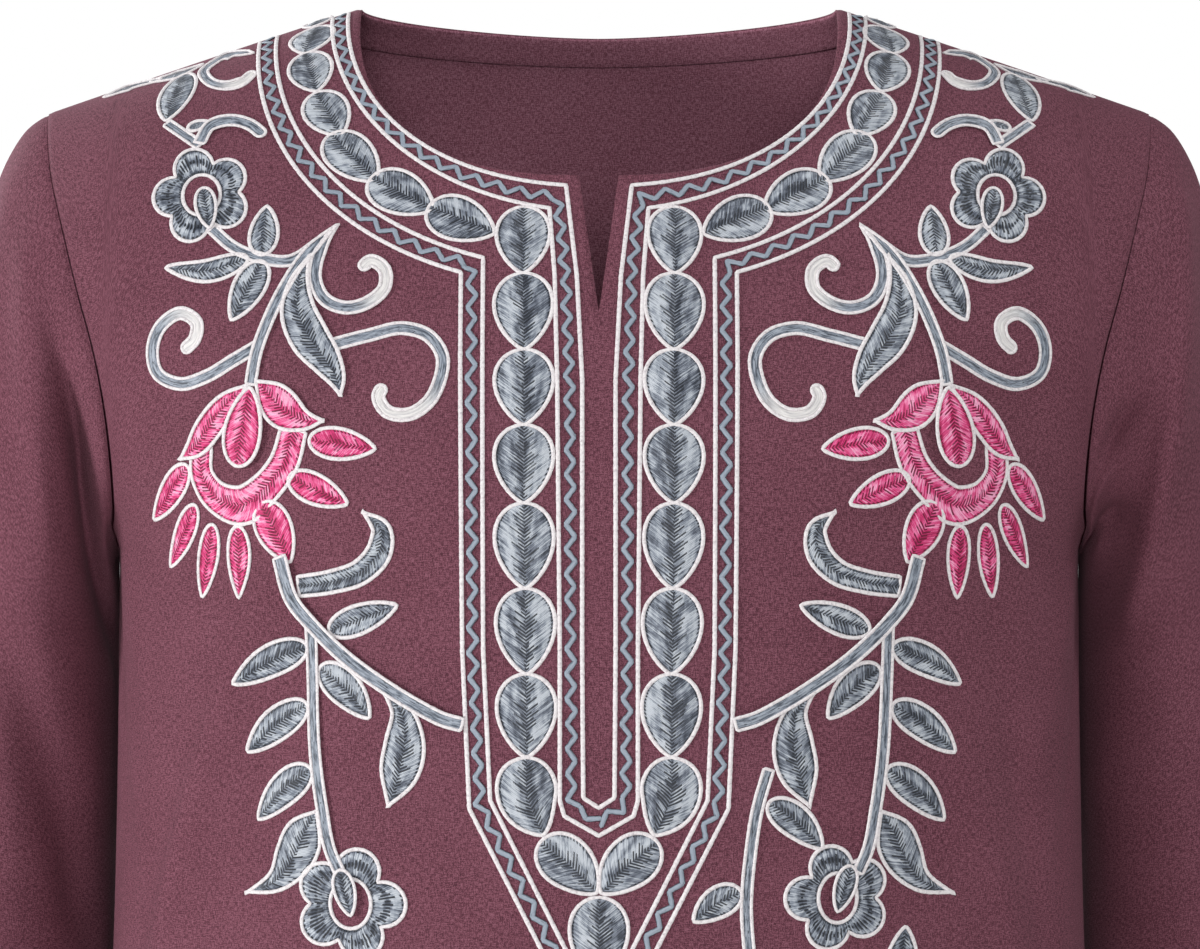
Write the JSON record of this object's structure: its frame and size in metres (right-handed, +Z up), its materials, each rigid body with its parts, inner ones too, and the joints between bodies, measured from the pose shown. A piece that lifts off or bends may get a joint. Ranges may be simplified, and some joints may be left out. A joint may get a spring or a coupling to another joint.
{
  "type": "kurta tunic",
  "caption": "Long-sleeved kurta tunic in plain-woven plum cloth, with a round slit neck and an embroidered front, filled out and hollow as worn.",
  "frame": {"origin": "midway between the two points where the shoulder seams meet the neckline, where the wearer's shoulders carry the garment", "axes": "+Z up, the front faces -Y, the wearer's left is +X"},
  "size_m": [0.5846, 0.2859, 0.8602],
  "materials": {
    "plum_cloth": "plain weave, lightly brushed, matt",
    "facing_cloth": "plain weave, matt, stitched down",
    "white_cord": "couched cotton cord, satin",
    "grey_thread": "satin stitch, silky sheen",
    "pink_thread": "satin stitch, silky sheen"
  },
  "bodies": {
    "root": {"front_panel": "plum_cloth", "back_panel": "plum_cloth", "left_sleeve": "plum_cloth", "right_sleeve": "plum_cloth", "back_neck_facing": "facing_cloth"}
  },
  "joints": []
}
